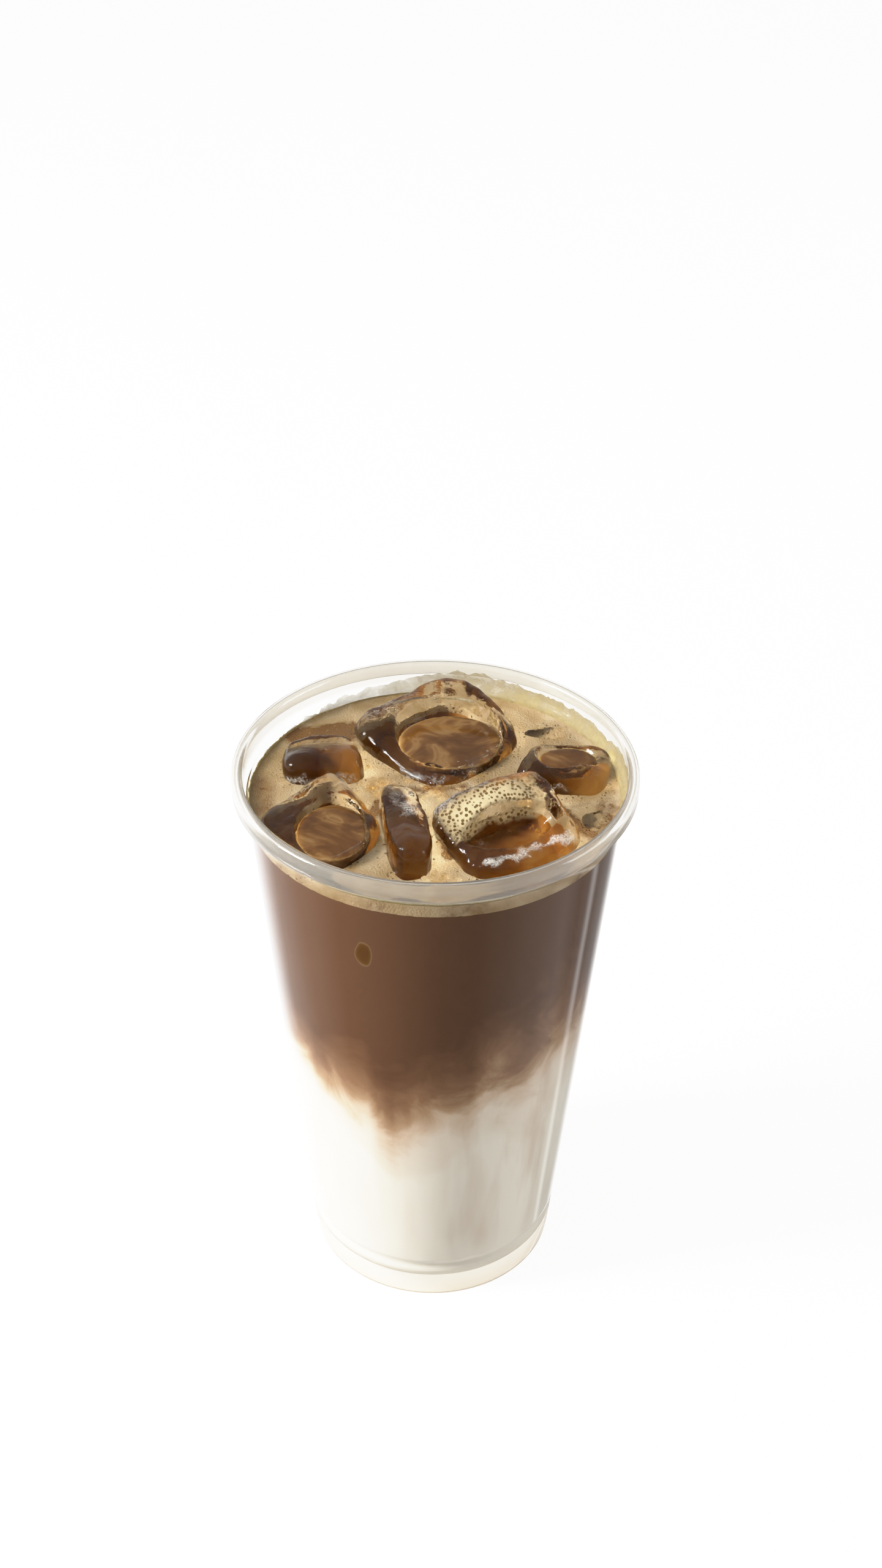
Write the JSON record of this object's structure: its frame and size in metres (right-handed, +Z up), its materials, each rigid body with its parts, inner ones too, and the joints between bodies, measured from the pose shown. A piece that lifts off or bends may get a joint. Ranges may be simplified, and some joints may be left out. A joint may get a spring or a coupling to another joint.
{
  "type": "iced coffee",
  "caption": "Clear tapered plastic cup of layered iced coffee: pale milk below, brown coffee above, a skin of crema, and hollow ice cubes floating at the open top.",
  "frame": {"origin": "on the table at the middle of the cup's foot", "axes": "+Z up along the cup's axis, -Y towards the viewer of the picture, +X to the viewer's right"},
  "size_m": [0.098, 0.098, 0.1506],
  "materials": {
    "cup": "clear thin moulded plastic",
    "milk": "opaque pale liquid",
    "coffee": "opaque brown liquid",
    "crema": "fine tan foam",
    "ice": "clear wet ice"
  },
  "bodies": {
    "root": {"cup": "cup", "milk": "milk", "coffee": "coffee", "crema": "crema", "ice_back": "ice", "ice_left": "ice", "ice_front_left": "ice", "ice_front": "ice", "ice_front_right": "ice", "ice_right": "ice", "ice_side": "ice", "ice_rear": "ice", "pool_back": "coffee", "pool_front_left": "coffee", "pool_right": "coffee"}
  },
  "joints": []
}
